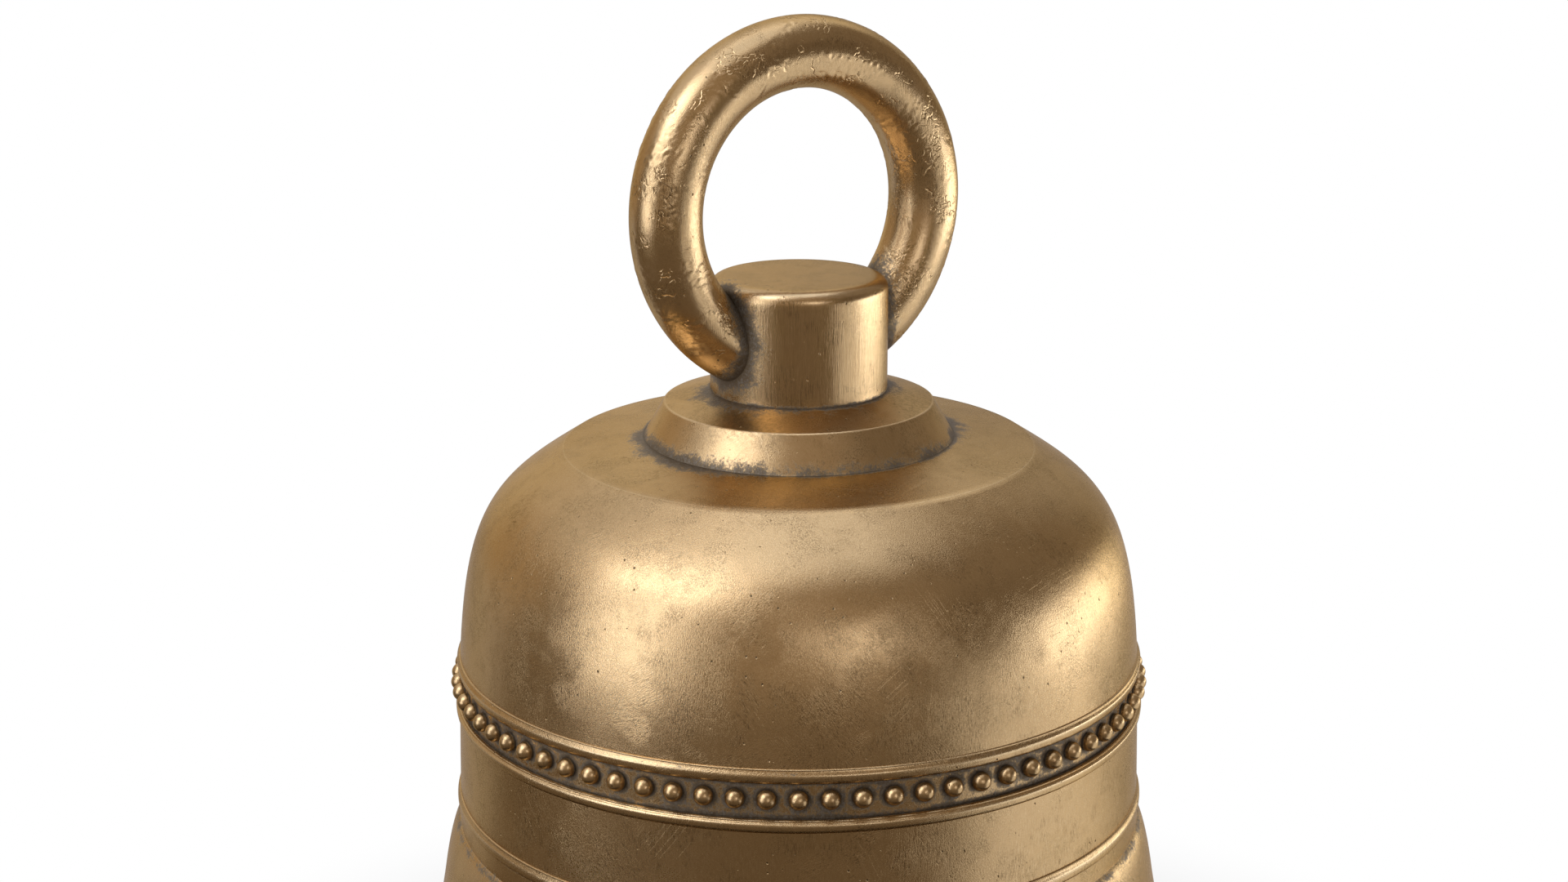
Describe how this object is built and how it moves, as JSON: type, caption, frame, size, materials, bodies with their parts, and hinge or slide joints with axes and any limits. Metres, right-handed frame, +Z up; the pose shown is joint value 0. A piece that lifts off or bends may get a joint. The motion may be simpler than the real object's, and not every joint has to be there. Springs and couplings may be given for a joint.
{
  "type": "church bell",
  "caption": "Bronze bell with domed shoulder, beaded recess between raised wires, flared mouth, a collar and boss, an upright closed hanging ring and a swinging clapper inside.",
  "frame": {"origin": "centre of the mouth, on the plane of the lip that the bell stands on", "axes": "+Z up along the bell's axis; the ring stands in the XZ plane; the clapper's pin lies along Y, so the clapper swings in the XZ plane"},
  "size_m": [0.409, 0.409, 0.5182],
  "materials": {
    "cast_bronze": "cast and scoured bell bronze, satin, with a dark grey-blue patina in the creases",
    "turned_bronze": "turned bronze, satin, with patina in the creases",
    "ring_bronze": "bronze bar, rubbed bright, with small dents and folds",
    "pad_leather": "dark pressed leather",
    "forged_iron": "forged iron, blackened",
    "bright_steel": "dulled plain steel",
    "bush_bronze": "turned bush bronze"
  },
  "bodies": {
    "bell": {"bell_casting": "cast_bronze", "bead_row": "cast_bronze", "crown_collar": "turned_bronze", "crown_boss": "turned_bronze", "crown_pad": "pad_leather", "inner_pad": "pad_leather", "clapper_staple": "forged_iron", "staple_dowel": "bright_steel", "stud_washer": "bright_steel", "crown_nut": "bright_steel", "lock_nut": "bright_steel", "pivot_pin": "bright_steel", "pin_washers": "bright_steel", "pin_spacers": "bush_bronze", "split_pin": "bright_steel"},
    "ring": {"hanging_ring": "ring_bronze"},
    "clapper": {"clapper_bush": "bush_bronze", "clapper_shank": "forged_iron", "clapper_ball": "forged_iron", "clapper_flight": "forged_iron", "flight_pin": "bright_steel"}
  },
  "joints": [
    {"name": "clapper_swing", "type": "hinge", "parent": "bell", "child": "clapper", "pos_m": [0, 0, 0.258], "axis": [0, 1, 0], "range_deg": [-36, 36]},
    {"name": "ring_turn", "type": "hinge", "parent": "bell", "child": "ring", "pos_m": [0, 0, 0.4387], "axis": [0, 1, 0], "continuous": true}
  ]
}
